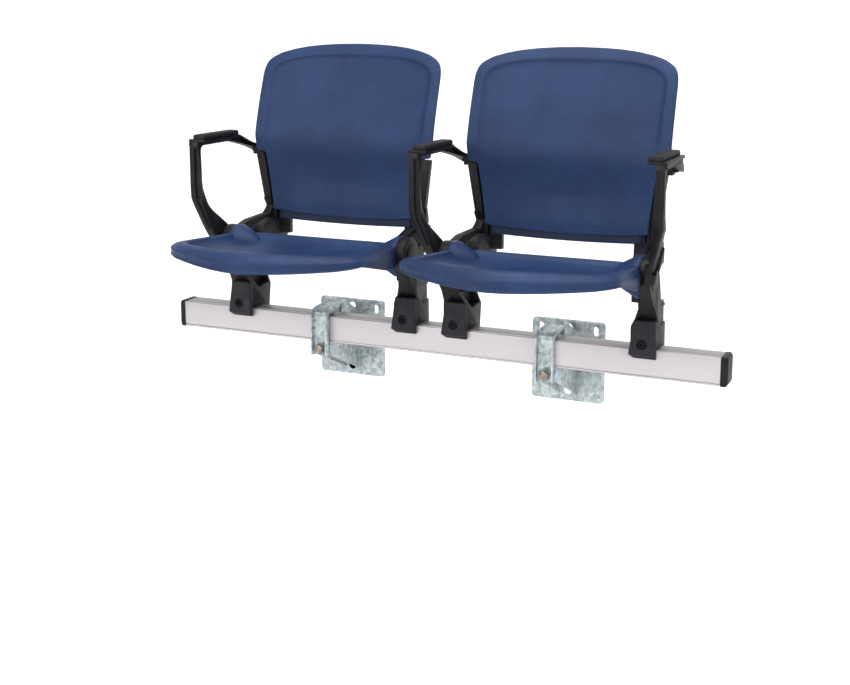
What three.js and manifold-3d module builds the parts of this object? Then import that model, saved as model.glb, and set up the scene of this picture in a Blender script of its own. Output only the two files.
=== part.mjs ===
// Two tip-up stadium seats on one beam, carried by two wall brackets.
//
// X runs along the beam, Y runs back to the wall and Z is up, in millimetres.
// The pieces are laid out from the front top edge of the beam, midway between
// the seats. The finished group is then moved so that its origin is the middle
// of the wall plane between the two bracket plates.
//
// What a stanchion carries is placed outwards from the stanchion's middle plane:
// its inner and outer values, and those that end in out, count away from the seat.

import * as THREE from 'three';
import { mergeVertices } from 'three/addons/utils/BufferGeometryUtils.js';
import Module from 'manifold-3d';

const wasm = await Module();
wasm.setup();

// Clearance between neighbouring pieces, and how far a cut runs past a face.
const gap = 0.3;
const overrun = 2;

// Points closer than this are one point.
const weld = 1e-4;

// How finely curves are divided.
const arcSteps = 4;
const roundSides = 24;
const boltSides = 16;

// Length of a sweep whose side limits are set afterwards.
const sweepSpan = 10;

// Seat pan in its lowered position: a D in plan, with its rear edge near the pivot.
const seat = {
  halfWidth: 220, sideOverhang: 18, front: -350, rear: 14, rearCornerOut: -52, cornerY: -238, hipY: -188,
  rimFront: 202, rimRear: 172.5, skirtFront: 161, skirtCorner: 171, skirtRear: 121, skirtRearY: -40,
  wall: 5, rimBand: 30, basinDepth: 26, basinY: -120,
  lugRadius: 43, lugDisc: 12, lugNeck: 24, lugInner: -50, lugRoom: 2.3,
};

// Middle plane of a stanchion from its seat's centre, and the two planes that share an armrest.
const stanchionOffset = seat.halfWidth - seat.sideOverhang;
const neighbourGap = 116;
const seatSpacing = 2 * stanchionOffset + neighbourGap;

const beam = {
  overhang: 154, height: 58, depth: 52, wall: 3, corner: 2.5,
  grooveWidth: 6, grooveDepth: 2, grooveEdge: 3.5, lipHeight: 4, lipGroove: 2.2,
};
const beamHalf = seatSpacing / 2 + stanchionOffset + beam.overhang;

const endCap = { thickness: 14, lip: 1, corner: 5, bevel: 4, plugLength: 22, plugWall: 3 };

// Wall plate of a bracket. Heights are measured from the top of the beam.
const plate = {
  width: 162, top: 9, bottom: -169, thickness: 6, front: 147, corner: 9,
  slotOffset: 61, slotWidth: 11, slotHeight: 21, slotTop: -1,
  holeRadius: 9, topHole: -7, lowHole: -149,
  rib: 6, ribHeight: 2, ribEdge: 5, ribTop: -30, ribBottom: -151,
};

// How far the front pieces of a bracket reach below the underside of the beam.
const underBeam = { arm: 28, strap: 30, bolt: 15 };

// Welded arm of a bracket: two gussets that notch round the beam.
const arm = {
  halfWidth: 22, gusset: 5, front: -1, frontBottom: -beam.height - underBeam.arm,
  rearTop: -21, rearBottom: -153, peakY: 70, peakZ: 24,
  webThickness: 5, webEdge: 10, nutPlate: 5, nutPlateY: 12, nutPlateEdge: 3,
};

// Strap that holds the beam in the notch: a channel bent over the beam.
const strap = {
  halfWidth: 19, thickness: 4, flange: 11, flangeWall: 3, bottom: -beam.height - underBeam.strap,
  bendBottom: 4, bendTop: 13, rearY: 62, rearZ: 14, topFlange: 5, flangeRear: 50,
  ridgeRadius: 8, ridgeFront: 26, slotHalf: 11, slotHeight: 3, slotRise: 5,
};

const strapBolt = {
  radius: 6, z: -beam.height - underBeam.bolt, acrossFlats: 19, head: 8, end: 34,
  washerRadius: 13, washer: 3.5, washerLip: 2, nut: 9, boreClearance: 0.5,
};

// Black moulded stanchion on the beam, with its pivot hub.
const foot = { halfWidth: 27, depth: 80, rearLow: 72, height: 45, lipDrop: 14, edge: 5 };

const hub = { y: -15, z: 150, radius: 42, inner: 1, outer: 22, bevel: 3, room: 4 };

const neck = {
  frontTop: 62, kneeY: -14, kneeZ: 84, shoulderY: -42, shoulderZ: 112,
  innerBase: -19, innerShoulder: -2, innerTop: 106, outerTop: 24, rearY: 34,
  pocketTip: 27, pocketTipZ: 43, pocketTop: 80, pocketFront: 3, pocketRear: 74, webHalf: 6,
};

// Arm behind the hub, and the wing at its end that carries the back shell.
const rearArm = {
  inner: -36, outer: -13, rootInner: -18, rootRear: 80, rootLow: 125, rootTop: 166, rootFront: 17,
  footTop: 86, footRear: 84, crestFront: 40, crestFrontZ: 184, crestRear: 84, crestRearZ: 195,
  strutRoom: 88, strutRoomZ: 186, tipTop: 188, tipBottom: 152, tipRear: 150,
  wingInner: -57, wingThickness: 14, wingBottom: 156, tabOuter: -22,
};

const clampBlock = {
  thickness: 14, top: 62, bottom: -17, topCorner: 7, topInset: 10, cutWidth: 9, cutHeight: 9,
  chamfer: 8, recessRadius: 10.5, recessDepth: 8,
};

const clampBolt = { z: 13, headRadius: 9.5, head: 6, socket: 8, socketDepth: 4, radius: 5, reach: 36 };

const pivot = { radius: 8, inner: -36, cap: 28, capSink: 2, capProud: 2.5, capBevel: 1.5, capRoom: 2 };

const bush = { wall: 2.5, flange: 2, flangeWall: 2.5 };

// Pin in the hub that runs in a curved slot of the seat lug. Its angles are in degrees.
const stop = { radius: 5, orbit: 29, reach: 7, sink: 9, travelAngle: 75, loweredAngle: 90 };

// Back shell: upright below its bend, leaning away above it, with a set-back flange below.
const back = {
  bottom: 200, cornerOut: -21, cornerZ: 211, lowOut: -24, lowZ: 220,
  sideOut: -6, sideZ: 343, ledgeOut: 13, ledgeZ: 346, shoulderOut: 16, shoulderZ: 362,
  waistOut: 20, waistZ: 383, upperZ: 515, top: 588,
  edgeY: 94, bendZ: 370, bendSpan: 60, leanShare: 0.4, dish: 22, edge: 8, wall: 5, rimBand: 24, rimStep: 5,
  flangeBottom: 185, flangeEndZ: 191, flangeEndOut: -40, flangeSet: 6, flangeRoot: 216,
  lugWidth: 24, lugBottom: 193, lugTop: 214, lugInset: 4,
};
const backHalf = stanchionOffset + back.waistOut;

// Bar from the hub back to the lower corner of the back, and up beside its edge.
const upright = {
  strutFrontY: 10, strutFrontZ: 184, strutRearY: 100, strutRearZ: 202, strutInner: 4, strutOuter: 22,
  underFrontY: 26, underFrontZ: 161, underMidY: 50, underMidZ: 178, underRearY: 100, underRearZ: 190,
  elbowY: 112, elbowZ: 218, frontY: 103, frontZ: 238, topFront: 96, topRear: 112, top: 342.5,
  rearY: 119, heelY: 128, heelZ: 206, corner: 9,
  lowInner: -19, lowOuter: -1, topInner: -5, topOuter: 14,
};

// Armrest loop: front post, top rail, and a link down to the top of the upright.
const armrest = {
  postFront: -104, postRearLow: -88, postRearTop: -91, postInner: 39.5, postOuter: 61,
  lowInner: 15, lowOuter: 34,
  kneeZ: 258, lowZ: 170, heelY: -62, heelZ: 144, noseY: -102, noseZ: 252, chinY: -84, chinZ: 190,
  innerKneeY: -70, innerKneeZ: 234, crotchY: -4, crotchZ: 180, kneeTurn: 286,
  railTop: 386, railBottom: 372, railCorner: 14, linkTopY: 54, linkStepY: 95, linkStepZ: 364,
  linkEndZ: 358, linkUnderY: 33, linkMidY: 78, linkMidZ: 359, linkLowZ: 342.8, linkRear: 124,
  linkInner: 22, linkOuter: 41, tabInner: 4, tabFront: 107.5, tabTop: 357,
};

const pad = {
  length: 145, width: 30, thickness: 10, corner: 7, front: -103, outer: 53, inset: 1,
  trayDepth: 5, trayInner: 22,
};

const wallPlane = plate.front + plate.thickness;
const plateCentre = (plate.top + plate.bottom) / 2;

function material(color, roughness, metalness) {
  return new THREE.MeshStandardMaterial({ color, roughness, metalness });
}

const looks = {
  aluminium: () => material(0xcfc9cb, 0.38, 0.85),
  zinc: () => material(0xb9c2c4, 0.5, 0.75),
  boltSteel: () => material(0x9a8f88, 0.45, 0.8),
  blackPlastic: () => material(0x232325, 0.55, 0),
  clampPlastic: () => material(0x3a3740, 0.6, 0),
  blackSteel: () => material(0x1c1c1e, 0.4, 0.6),
  bluePlastic: () => material(0x2b4470, 0.5, 0),
  padPlastic: () => material(0x202224, 0.7, 0),
};

// A closed geometry with its shared points merged and its empty faces left out.
function welded(geometry) {
  const bare = geometry.clone();
  bare.deleteAttribute('normal');
  bare.deleteAttribute('uv');
  const merged = mergeVertices(bare, weld);
  const index = merged.index.array;
  const keep = [];
  for (let face = 0; face < index.length; face += 3) {
    const [a, b, c] = [index[face], index[face + 1], index[face + 2]];
    if (a !== b && b !== c && c !== a) {
      keep.push(a, b, c);
    }
  }
  merged.setIndex(keep);
  return merged;
}

// Six times the volume inside a closed geometry, below zero if its faces point inwards.
function signedVolume(geometry) {
  const place = geometry.attributes.position;
  const index = geometry.index.array;
  const [a, b, c] = [new THREE.Vector3(), new THREE.Vector3(), new THREE.Vector3()];
  let volume = 0;
  for (let face = 0; face < index.length; face += 3) {
    a.fromBufferAttribute(place, index[face]);
    b.fromBufferAttribute(place, index[face + 1]);
    c.fromBufferAttribute(place, index[face + 2]);
    volume += a.dot(b.cross(c));
  }
  return volume;
}

// Turns a closed geometry into a solid that can be joined and cut, with its faces outwards.
function solid(geometry) {
  const merged = welded(geometry);
  const triVerts = new Uint32Array(merged.index.array);
  if (signedVolume(merged) < 0) {
    triVerts.reverse();
  }
  const vertProperties = new Float32Array(merged.attributes.position.array);
  return new wasm.Manifold(new wasm.Mesh({ numProp: 3, vertProperties, triVerts }));
}

function toGeometry(body) {
  const shell = body.getMesh();
  const geometry = new THREE.BufferGeometry();
  geometry.setAttribute('position', new THREE.BufferAttribute(shell.vertProperties, 3));
  geometry.setIndex(new THREE.BufferAttribute(shell.triVerts, 1));
  return geometry;
}

function joined(bodies) {
  return bodies.reduce((whole, body) => whole.add(body));
}

function cutBy(body, cutters) {
  return cutters.reduce((left, cutter) => left.subtract(cutter), body);
}

function box(x0, x1, y0, y1, z0, z1) {
  const geometry = new THREE.BoxGeometry(Math.abs(x1 - x0), Math.abs(y1 - y0), Math.abs(z1 - z0));
  geometry.translate((x0 + x1) / 2, (y0 + y1) / 2, (z0 + z1) / 2);
  return solid(geometry);
}

// A shape whose corners are rounded by the radius that each point carries.
function roundedShape(points) {
  const corners = points.map(([a, b, radius = 0]) => ({ at: new THREE.Vector2(a, b), radius }));
  const shape = new THREE.Shape();
  corners.forEach((corner, index) => {
    const before = corners[(index + corners.length - 1) % corners.length].at;
    const after = corners[(index + 1) % corners.length].at;
    const enter = corner.at.clone().add(before.clone().sub(corner.at).setLength(corner.radius));
    const leave = corner.at.clone().add(after.clone().sub(corner.at).setLength(corner.radius));
    if (index === 0) {
      shape.moveTo(enter.x, enter.y);
    } else {
      shape.lineTo(enter.x, enter.y);
    }
    if (corner.radius > 0) {
      shape.quadraticCurveTo(corner.at.x, corner.at.y, leave.x, leave.y);
    }
  });
  shape.closePath();
  return shape;
}

function extruded(shape, depth, basis, origin) {
  const geometry = new THREE.ExtrudeGeometry(shape, { depth, bevelEnabled: false, curveSegments: arcSteps });
  geometry.applyMatrix4(basis);
  geometry.translate(origin.x, origin.y, origin.z);
  return geometry;
}

const alongX = new THREE.Matrix4().makeBasis(
  new THREE.Vector3(0, 1, 0), new THREE.Vector3(0, 0, 1), new THREE.Vector3(1, 0, 0));
const alongMinusY = new THREE.Matrix4().makeBasis(
  new THREE.Vector3(1, 0, 0), new THREE.Vector3(0, 0, 1), new THREE.Vector3(0, -1, 0));

// Side view outline, points as [y, z, radius], swept from x0 to x1.
function sideGeometry(points, x0, x1, holes = []) {
  const shape = points instanceof THREE.Shape ? points : roundedShape(points);
  shape.holes.push(...holes);
  return extruded(shape, Math.abs(x1 - x0), alongX, new THREE.Vector3(Math.min(x0, x1), 0, 0));
}

function sideSolid(points, x0, x1, holes = []) {
  return solid(sideGeometry(points, x0, x1, holes));
}

// Front view outline, points as [x, z, radius], swept from y0 back to y1.
function frontSolid(points, y0, y1, holes = []) {
  const shape = roundedShape(points);
  shape.holes.push(...holes);
  return solid(extruded(shape, y1 - y0, alongMinusY, new THREE.Vector3(0, y1, 0)));
}

// Plan outline, points as [x, y, radius], swept from z0 up to z1.
function planSolid(points, z0, z1) {
  return solid(extruded(roundedShape(points), z1 - z0, new THREE.Matrix4(), new THREE.Vector3(0, 0, z0)));
}

function circleHole(a, b, radius) {
  const hole = new THREE.Path();
  hole.absarc(a, b, radius, 0, 2 * Math.PI);
  return hole;
}

// Turned piece about a line along X: profile points are [x, radius].
function turnedX(profile, y, z, sides = roundSides) {
  const outline = profile.map(([x, radius]) => new THREE.Vector2(radius, x));
  const geometry = new THREE.LatheGeometry(outline, sides);
  geometry.rotateZ(-Math.PI / 2);
  geometry.translate(0, y, z);
  return solid(geometry);
}

// Rod along Y.
function rod(y0, y1, radius, x, z, sides = boltSides) {
  const outline = [[0, y0], [radius, y0], [radius, y1], [0, y1]].map(([a, b]) => new THREE.Vector2(a, b));
  const geometry = new THREE.LatheGeometry(outline, sides);
  geometry.translate(x, 0, z);
  return solid(geometry);
}

// Rod along X.
function rodX(x0, x1, radius, y, z, sides = roundSides) {
  return turnedX([[x0, 0], [x0, radius], [x1, radius], [x1, 0]], y, z, sides);
}

function hexagon(y0, y1, acrossFlats, x, z) {
  return rod(y0, y1, acrossFlats / Math.sqrt(3), x, z, 6);
}

// Place along the beam of a point that lies this far outwards from a stanchion's plane.
function outward(post, out) {
  return post.plane + post.side * out;
}

// Rod and turned piece about the pivot axis of a stanchion.
function hubRod(post, from, to, radius, sides = roundSides) {
  return rodX(outward(post, from), outward(post, to), radius, hub.y, hub.z, sides);
}

function hubTurned(post, profile, sides = roundSides) {
  return turnedX(profile.map(([out, radius]) => [outward(post, out), radius]), hub.y, hub.z, sides);
}

// Closed skin through rings of points, with a flat fan at each end.
function lofted(rings) {
  const count = rings[0].length;
  const points = rings.flat();
  const faces = [];
  for (let ring = 0; ring + 1 < rings.length; ring += 1) {
    for (let step = 0; step < count; step += 1) {
      const a = ring * count + step;
      const b = ring * count + (step + 1) % count;
      faces.push(a, b, a + count, b, b + count, a + count);
    }
  }
  const last = (rings.length - 1) * count;
  for (let step = 1; step + 1 < count; step += 1) {
    faces.push(0, step + 1, step, last, last + step, last + step + 1);
  }
  const geometry = new THREE.BufferGeometry().setFromPoints(points);
  geometry.setIndex(faces);
  return solid(geometry);
}

// Points round a closed shape, each once.
function ringPoints(shape) {
  return shape.getPoints(arcSteps).slice(1);
}

// One ring of a panel: the outline drawn in towards the centre by a share.
function panelRing(outline, centre, share, place) {
  return outline.map((point) => place(centre.clone().lerp(point, share), share));
}

// Adds a mesh to the group, under its name.
function put(group, name, body, look) {
  const mesh = new THREE.Mesh(toGeometry(body), look());
  mesh.name = name;
  group.add(mesh);
}

// Hollow beam with a groove along the front of its top and one above its lower lip.
function beamSolid() {
  const { height, depth, wall, corner, grooveEdge, grooveDepth, grooveWidth } = beam;
  const grooveRear = grooveEdge + grooveWidth;
  const lipTop = beam.lipHeight - height;
  const outline = [
    [0, -height, corner], [depth, -height, corner], [depth, 0, corner],
    [grooveRear, 0], [grooveRear, -grooveDepth], [grooveEdge, -grooveDepth], [grooveEdge, 0],
    [0, 0, corner], [0, lipTop + beam.lipGroove],
    [grooveDepth, lipTop + beam.lipGroove], [grooveDepth, lipTop], [0, lipTop],
  ];
  const inside = wall + grooveDepth;
  const hollow = roundedShape([
    [inside, wall - height, corner], [depth - wall, wall - height, corner],
    [depth - wall, -inside, corner], [inside, -inside, corner],
  ]);
  return sideSolid(outline, -beamHalf, beamHalf, [hollow]);
}

// Moulded cap: a bevelled plate over the end of the beam, on a plug inside it.
function endCapSolid(side) {
  const { lip, corner, bevel, thickness, plugWall } = endCap;
  const face = beamHalf + gap;
  const ring = (along, inset) => {
    const [front, rear] = [inset - lip, beam.depth + lip - inset];
    const [low, high] = [inset - beam.height - lip, lip - inset];
    const shape = roundedShape([
      [front, low, corner], [rear, low, corner], [rear, high, corner], [front, high, corner],
    ]);
    return ringPoints(shape).map((point) => new THREE.Vector3(side * along, point.x, point.y));
  };
  const cover = lofted([ring(face, 0), ring(face + thickness - bevel, 0), ring(face + thickness, bevel)]);
  const inside = beam.wall + beam.grooveDepth + gap;
  const wall = beam.wall + gap;
  const [plugStart, plugEnd] = [side * (face + overrun), side * (face - endCap.plugLength)];
  const plug = sideSolid([
    [inside, wall - beam.height, beam.corner], [beam.depth - wall, wall - beam.height, beam.corner],
    [beam.depth - wall, -inside, beam.corner], [inside, -inside, beam.corner],
  ], plugStart, plugEnd);
  const hollow = box(
    side * (face - overrun), plugEnd - side * overrun, inside + plugWall, beam.depth - wall - plugWall,
    wall + plugWall - beam.height, -inside - plugWall);
  return cover.add(plug.subtract(hollow));
}

// Wall plate with two slots, two holes and a low rib along each side.
function wallPlateSolid(x) {
  const half = plate.width / 2;
  const { top, bottom, corner, thickness, front } = plate;
  const slotMiddle = plate.slotTop - plate.slotHeight / 2;
  const slots = [-1, 1].map((side) => slotPath(x + side * plate.slotOffset, slotMiddle));
  const holes = [plate.topHole, plate.lowHole].map((z) => circleHole(x, z, plate.holeRadius));
  const sheet = frontSolid([
    [x - half, bottom, corner], [x + half, bottom, corner], [x + half, top, corner], [x - half, top, corner],
  ], front, front + thickness, [...slots, ...holes]);
  const ribs = [-1, 1].map((side) => {
    const outer = x + side * (half - plate.ribEdge);
    const sink = thickness / 2;
    return box(outer, outer - side * plate.rib, front - plate.ribHeight, front + sink,
      plate.ribBottom, plate.ribTop);
  });
  return joined([sheet, ...ribs]);
}

function slotPath(x, z) {
  const radius = plate.slotWidth / 2;
  const straight = plate.slotHeight / 2 - radius;
  const path = new THREE.Path();
  path.absarc(x, z + straight, radius, 0, Math.PI);
  path.absarc(x, z - straight, radius, Math.PI, 2 * Math.PI);
  path.closePath();
  return path;
}

// Height of the underside of the strap's upper leg over a given depth.
function strapUnderside(y) {
  const share = (y - arm.front) / (strap.rearY - arm.front);
  return strap.bendBottom + share * (strap.rearZ - strap.bendBottom);
}

// Bracket arm: two gussets round the beam, a web at the plate and a nut plate.
function bracketArmSolid(x) {
  const seatY = beam.depth + gap;
  const rear = plate.front - gap;
  const under = -beam.height - gap;
  const profile = [
    [arm.front, under], [seatY, under], [seatY, strapUnderside(seatY) - gap],
    [strap.rearY + gap, strapUnderside(strap.rearY) - gap], [strap.rearY + gap, arm.peakZ - gap],
    [arm.peakY, arm.peakZ], [rear, arm.rearTop], [rear, arm.rearBottom], [arm.front, arm.frontBottom],
  ];
  const gussets = [-1, 1].map((side) => {
    const outer = x + side * arm.halfWidth;
    return sideSolid(profile, outer, outer - side * arm.gusset);
  });
  const inner = arm.halfWidth - arm.gusset / 2;
  const web = box(x - inner, x + inner, rear - arm.webThickness, rear, arm.rearBottom + arm.webEdge,
    arm.rearTop - arm.webEdge);
  const nutPlate = box(x - inner, x + inner, arm.nutPlateY, arm.nutPlateY + arm.nutPlate,
    arm.frontBottom + arm.nutPlateEdge, under - arm.nutPlateEdge);
  const bore = rod(arm.nutPlateY - overrun, arm.nutPlateY + arm.nutPlate + overrun,
    strapBolt.radius + strapBolt.boreClearance, x, strapBolt.z);
  const openHole = rod(rear - arm.webThickness - overrun, rear + overrun, plate.holeRadius, x, plate.lowHole);
  return cutBy(joined([...gussets, web, nutPlate]), [bore, openHole]);
}

// Strap: a channel down the front of the beam whose upper leg is bent back over it.
function strapSolid(x) {
  const rear = arm.front - gap;
  const front = rear - strap.thickness;
  const half = strap.halfWidth;
  const leg = strap.thickness;
  const web = sideSolid([
    [rear, strap.bottom], [rear, strap.bendBottom], [strap.rearY, strap.rearZ],
    [strap.rearY, strap.rearZ + leg], [front + leg, strap.bendBottom + leg + strap.slotRise],
    [front, strap.bendBottom + leg], [front, strap.bottom],
  ], x - half, x + half);
  const proud = front - strap.flange;
  const flangeProfile = [
    [rear, strap.bottom], [rear, strap.bendBottom], [strap.flangeRear, strapUnderside(strap.flangeRear)],
    [strap.flangeRear, strapUnderside(strap.flangeRear) + leg + strap.topFlange],
    [front + leg, strap.bendTop + strap.topFlange, leg],
    [proud, strap.bendBottom, leg], [proud, strap.bottom, leg],
  ];
  const flanges = [-1, 1].map((side) => {
    const outer = x + side * half;
    return sideSolid(flangeProfile, outer, outer - side * strap.flangeWall);
  });
  const ridgeZ = strapUnderside(strap.ridgeFront) + leg / 2;
  const ridge = rod(strap.ridgeFront, strap.rearY, strap.ridgeRadius, x, ridgeZ, roundSides);
  const aboveLeg = sideSolid([
    [strap.ridgeFront - overrun, strapUnderside(strap.ridgeFront) + leg / 2],
    [strap.rearY + overrun, strap.rearZ + leg / 2],
    [strap.rearY + overrun, strap.rearZ + leg + strap.ridgeRadius],
    [strap.ridgeFront - overrun, strap.rearZ + leg + strap.ridgeRadius],
  ], x - half, x + half);
  const bore = rod(proud, rear + overrun, strapBolt.radius + strapBolt.boreClearance, x, strapBolt.z);
  const slot = box(x - strap.slotHalf, x + strap.slotHalf, front - overrun, rear - strap.thickness / 2,
    strap.bendBottom - strap.slotHeight, strap.bendBottom);
  return cutBy(joined([web, ...flanges, ridge.intersect(aboveLeg)]), [bore, slot]);
}

function strapWasherSolid(x) {
  const { washer, washerLip, washerRadius, radius, boreClearance, z } = strapBolt;
  const seatY = arm.front - 2 * gap - strap.thickness;
  const floorY = seatY - washer;
  const cup = rod(floorY - washerLip, seatY, washerRadius, x, z);
  const recess = rod(floorY - washerLip - overrun, floorY, washerRadius - washerLip / 2, x, z);
  const bore = rod(floorY - overrun, seatY + overrun, radius + boreClearance, x, z);
  return cutBy(cup, [recess, bore]);
}

function strapBoltSolid(x) {
  const under = arm.front - 3 * gap - strap.thickness - strapBolt.washer;
  const head = hexagon(under - strapBolt.head, under, strapBolt.acrossFlats, x, strapBolt.z);
  const shank = rod(under - strapBolt.head / 2, strapBolt.end, strapBolt.radius, x, strapBolt.z);
  return head.add(shank);
}

function strapNutSolid(x) {
  const seatY = arm.nutPlateY + arm.nutPlate + gap;
  const body = hexagon(seatY, seatY + strapBolt.nut, strapBolt.acrossFlats, x, strapBolt.z);
  const bore = rod(seatY - overrun, seatY + strapBolt.nut + overrun, strapBolt.radius + gap, x, strapBolt.z);
  return body.subtract(bore);
}

// Front view points placed at a stanchion, kept in turning order on both sides.
function facing(post, points) {
  const placed = points.map(([out, ...rest]) => [outward(post, out), ...rest]);
  return post.side > 0 ? placed : placed.reverse();
}

// Stanchion: a foot on the beam, a waisted neck, the hub and the arm behind it.
function stanchionSolid(post) {
  const half = foot.halfWidth;
  const hookY = beam.depth + gap;
  const body = sideSolid([
    [0, gap], [hookY, gap], [hookY, -foot.lipDrop], [foot.rearLow, -foot.lipDrop, foot.edge],
    [foot.depth, foot.height], [rearArm.footRear, rearArm.footTop], [neck.rearY, rearArm.footTop],
    [hub.y + hub.radius, hub.z], [hub.y - hub.radius, hub.z], [neck.shoulderY, neck.shoulderZ, foot.edge],
    [neck.kneeY, neck.kneeZ, foot.edge], [0, neck.frontTop],
  ], outward(post, -half), outward(post, half));
  const silhouette = frontSolid(facing(post, [
    [-half, -foot.lipDrop - overrun], [half, -foot.lipDrop - overrun], [half, neck.frontTop],
    [neck.outerTop, neck.shoulderZ], [hub.outer, hub.z], [hub.inner, hub.z], [hub.inner, neck.innerTop],
    [neck.innerShoulder, neck.innerTop - foot.edge], [neck.innerBase, neck.frontTop], [-half, foot.height],
  ]), hub.y - hub.radius - overrun, rearArm.footRear + overrun);
  const disc = hubTurned(post, [
    [hub.inner, 0], [hub.inner, hub.radius], [hub.outer - hub.bevel, hub.radius],
    [hub.outer, hub.radius - hub.bevel], [hub.outer, 0],
  ]);
  const column = cutBy(body.intersect(silhouette), neckPockets(post));
  return cutBy(joined([column, disc, rearArmSolid(post)]), stanchionCuts(post));
}

// Hollows in both sides of the foot, which leave a web in its middle.
function neckPockets(post) {
  return [-1, 1].map((face) => sideSolid([
    [neck.pocketTip, neck.pocketTipZ, foot.edge], [neck.pocketRear, neck.pocketTipZ + foot.edge, foot.edge],
    [neck.pocketRear, neck.pocketTop], [neck.pocketFront, neck.pocketTop],
  ], outward(post, face * neck.webHalf), outward(post, face * (foot.halfWidth + overrun))));
}

// Arm from the stanchion back under the lower corner of the back shell.
function rearArmSolid(post) {
  const r = rearArm;
  const carry = wingFront();
  const wingRear = carry + r.wingThickness;
  const wingInner = outward(post, r.wingInner);
  const bar = sideSolid([
    [neck.rearY, r.footTop], [r.footRear, r.footTop], [r.tipRear, r.tipBottom, foot.edge],
    [r.tipRear, r.tipTop, foot.edge], [r.strutRoom, r.strutRoomZ], [r.crestRear, r.crestRearZ],
    [r.crestFront, r.crestFrontZ], [hub.y + hub.radius, hub.z],
  ], outward(post, r.inner), outward(post, r.outer));
  const root = sideSolid([
    [r.rootFront, neck.pocketTop], [r.footRear, neck.pocketTop], [r.footRear, r.footTop],
    [r.rootRear, r.rootLow], [r.rootRear, r.rootTop], [hub.y + hub.radius, hub.z],
  ], outward(post, r.rootInner), outward(post, hub.inner + overrun));
  const wing = box(wingInner, outward(post, r.outer), carry, wingRear, r.wingBottom, r.tipTop);
  const tab = box(wingInner, outward(post, r.tabOuter), carry, wingRear, r.wingBottom, back.lugTop);
  return joined([bar, root, wing, tab]);
}

// Front face of the wing, just behind the lugs of the back shell.
function wingFront() {
  return lugRoot() + back.lugInset + gap;
}

function stanchionCuts(post) {
  const bore = pivot.radius + bush.wall + 2 * gap;
  const [stopY, stopZ] = orbitPlace(-stop.loweredAngle);
  const lugRoom = hubRod(post, hub.inner - gap, rearArm.wingInner - overrun, seat.lugRadius + seat.lugRoom);
  const bushBore = hubRod(post, hub.inner - overrun, hub.outer + overrun, bore, boltSides);
  const flangeSeat = hubRod(
    post, hub.inner - overrun, hub.inner + bush.flange + gap, bore + bush.flangeWall, boltSides);
  const capSeat = hubRod(post, hub.outer - pivot.capSink - gap, foot.halfWidth, pivot.cap + gap);
  const boltBore = rod(-overrun, clampBolt.reach + overrun, clampBolt.radius + gap, post.plane, clampBolt.z);
  const stopBore = rodX(outward(post, hub.inner - overrun), outward(post, hub.inner + stop.sink + gap),
    stop.radius + gap, stopY, stopZ, boltSides);
  return [lugRoom, bushBore, flangeSeat, capSeat, boltBore, stopBore];
}

// Place on the stop pin's orbit, by its angle above the level line behind the pivot.
function orbitPlace(angle) {
  const turn = THREE.MathUtils.degToRad(angle);
  return [hub.y + stop.orbit * Math.cos(turn), hub.z + stop.orbit * Math.sin(turn)];
}

function stopPinSolid(post) {
  const [stopY, stopZ] = orbitPlace(-stop.loweredAngle);
  return rodX(outward(post, hub.inner - stop.reach), outward(post, hub.inner + stop.sink), stop.radius,
    stopY, stopZ, boltSides);
}

// Curved slot in the lug: the pin lies at one end of it with the seat lowered.
function stopSlot(post) {
  const room = stop.radius + gap;
  const startAngle = -stop.loweredAngle;
  const endAngle = stop.travelAngle - stop.loweredAngle;
  const start = THREE.MathUtils.degToRad(startAngle);
  const end = THREE.MathUtils.degToRad(endAngle);
  const slot = new THREE.Shape();
  slot.absarc(hub.y, hub.z, stop.orbit + room, start, end, false);
  slot.absarc(...orbitPlace(endAngle), room, end, end + Math.PI, false);
  slot.absarc(hub.y, hub.z, stop.orbit - room, end, start, true);
  slot.absarc(...orbitPlace(startAngle), room, start + Math.PI, start + 2 * Math.PI, false);
  return sideSolid(slot, outward(post, hub.inner - stop.reach - gap), outward(post, hub.inner + overrun));
}

// Plastic bush in the hub, with a flange against the seat lug.
function bushSolid(post) {
  const inner = pivot.radius + gap;
  const outer = inner + bush.wall;
  const flange = outer + bush.flangeWall;
  const shoulder = hub.inner + bush.flange;
  const end = hub.outer - pivot.capSink - 2 * gap;
  return hubTurned(post, [
    [hub.inner, inner], [hub.inner, flange], [shoulder, flange], [shoulder, outer],
    [end, outer], [end, inner], [hub.inner, inner],
  ], boltSides);
}

function pivotPinSolid(post) {
  return hubRod(post, pivot.inner, hub.outer - pivot.capSink - 2 * gap, pivot.radius, boltSides);
}

function hubCapSolid(post) {
  const inner = hub.outer - pivot.capSink;
  const outer = hub.outer + pivot.capProud;
  return hubTurned(post, [
    [inner, 0], [inner, pivot.cap], [outer - pivot.capBevel, pivot.cap],
    [outer, pivot.cap - pivot.capBevel], [outer, 0],
  ]);
}

// Clamp block: hooks over the front of the beam, with a recess for its bolt.
function clampBlockSolid(post) {
  const middle = post.plane;
  const half = foot.halfWidth;
  const { top, bottom, topCorner, topInset, cutWidth, cutHeight, thickness, chamfer } = clampBlock;
  const face = frontSolid([
    [middle - half + cutWidth, bottom], [middle + half, bottom], [middle + half, top, topCorner],
    [middle - half + topInset, top, topCorner / 2], [middle - half, bottom + cutHeight],
  ], -thickness, -gap);
  const section = sideSolid([
    [-gap, bottom], [-gap, top], [-thickness, top, topCorner / 2], [-thickness, bottom + chamfer],
    [-thickness / 2, bottom],
  ], middle - half, middle + half);
  const recess = rod(-thickness - overrun, clampBlock.recessDepth - thickness, clampBlock.recessRadius,
    middle, clampBolt.z);
  const bore = rod(-thickness, overrun, clampBolt.radius + gap, middle, clampBolt.z);
  return cutBy(face.intersect(section), [recess, bore]);
}

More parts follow.
